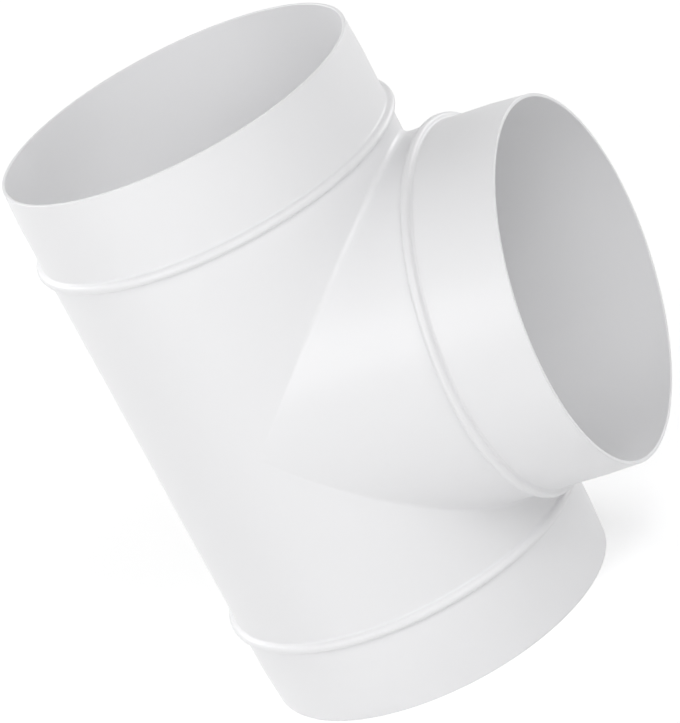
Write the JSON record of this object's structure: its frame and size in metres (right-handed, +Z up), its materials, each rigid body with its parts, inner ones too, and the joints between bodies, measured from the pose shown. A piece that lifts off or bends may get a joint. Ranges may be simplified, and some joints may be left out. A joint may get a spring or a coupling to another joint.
{
  "type": "duct tee",
  "caption": "Equal round duct tee in white moulded plastic: a straight run with a side branch of the same size, and a male spigot with a stop bead at each end.",
  "frame": {"origin": "middle of the lower rim of the run, on the run's axis", "axes": "+Z up along the run, from its lower rim to its upper rim; +X along the branch, out of its mouth; the branch axis crosses the run axis half way up, at z = 80.5 mm"},
  "size_m": [0.1328, 0.1026, 0.161],
  "materials": {
    "white_plastic": "smooth white moulding with a soft sheen"
  },
  "bodies": {
    "root": {"tee_body": "white_plastic"}
  },
  "joints": []
}
